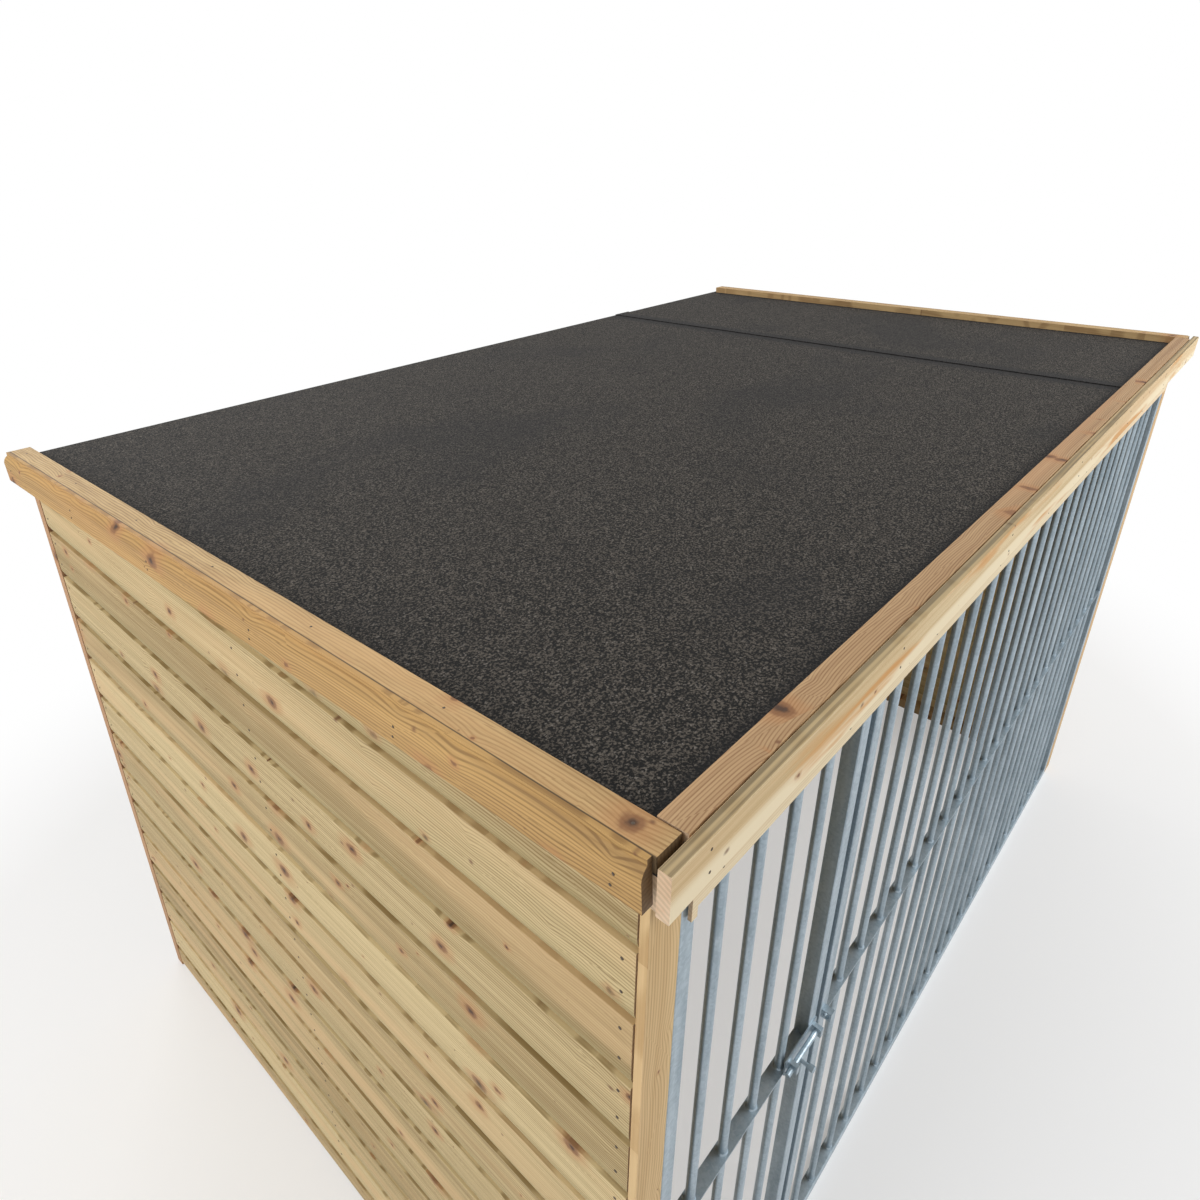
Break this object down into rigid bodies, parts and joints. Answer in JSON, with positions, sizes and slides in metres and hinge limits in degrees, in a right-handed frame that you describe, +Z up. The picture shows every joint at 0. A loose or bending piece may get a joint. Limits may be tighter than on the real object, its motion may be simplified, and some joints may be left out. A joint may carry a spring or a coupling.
{
  "type": "pet run",
  "caption": "Timber-walled kennel run for a pet with a lean-to felt roof, a front of galvanised round bars and a barred door that swings inward.",
  "frame": {"origin": "on the ground, under the middle of the roof's outline", "axes": "+X to the right along the barred front, +Y from the front to the rear wall, +Z up"},
  "size_m": [3.0766, 2.0501, 1.9787],
  "materials": {
    "cladding": "pressure-treated planed pine, pale green-yellow",
    "trim_timber": "pressure-treated planed pine, warm honey",
    "frame_timber": "pressure-treated sawn pine, in shade",
    "felt": "bitumen felt with mineral granules",
    "galvanised": "hot-dip galvanised, dull mottled zinc"
  },
  "bodies": {
    "run": {"bolt_keeper": "galvanised", "front_batten": "trim_timber", "front_beam": "frame_timber", "front_fascia": "trim_timber", "front_lath": "trim_timber", "hinge_brackets": "galvanised", "lath_end_block": "trim_timber", "left_batten": "trim_timber", "left_corner_board": "trim_timber", "left_fascia": "trim_timber", "left_rear_post": "trim_timber", "left_wall_boards": "cladding", "left_wall_rails": "frame_timber", "left_wall_studs": "frame_timber", "panel_bars": "galvanised", "panel_mid_strip": "galvanised", "panel_rails": "galvanised", "panel_stiles": "galvanised", "rear_wall_boards": "cladding", "rear_wall_rails": "frame_timber", "rear_wall_studs": "frame_timber", "right_batten": "trim_timber", "right_corner_board": "trim_timber", "right_fascia": "trim_timber", "right_rear_post": "trim_timber", "right_wall_boards": "cladding", "right_wall_rails": "frame_timber", "right_wall_studs": "frame_timber", "roof_boards": "frame_timber", "roof_purlins": "frame_timber", "roofing_felt": "felt"},
    "door": {"door_stiles": "galvanised", "door_rails": "galvanised", "door_mid_strip": "galvanised", "door_bars": "galvanised", "hinge_eyes": "galvanised", "bolt_guides": "galvanised"},
    "bolt": {"bolt_rod": "galvanised"}
  },
  "joints": [
    {"name": "door_hinge", "type": "hinge", "parent": "run", "child": "door", "pos_m": [-1.425, -0.937, 0.26], "axis": [0, 0, 1], "range_deg": [0, 90]},
    {"name": "bolt_slide", "type": "slide", "parent": "door", "child": "bolt", "axis": [1, 0, 0], "range_m": [0, 0.04]}
  ]
}
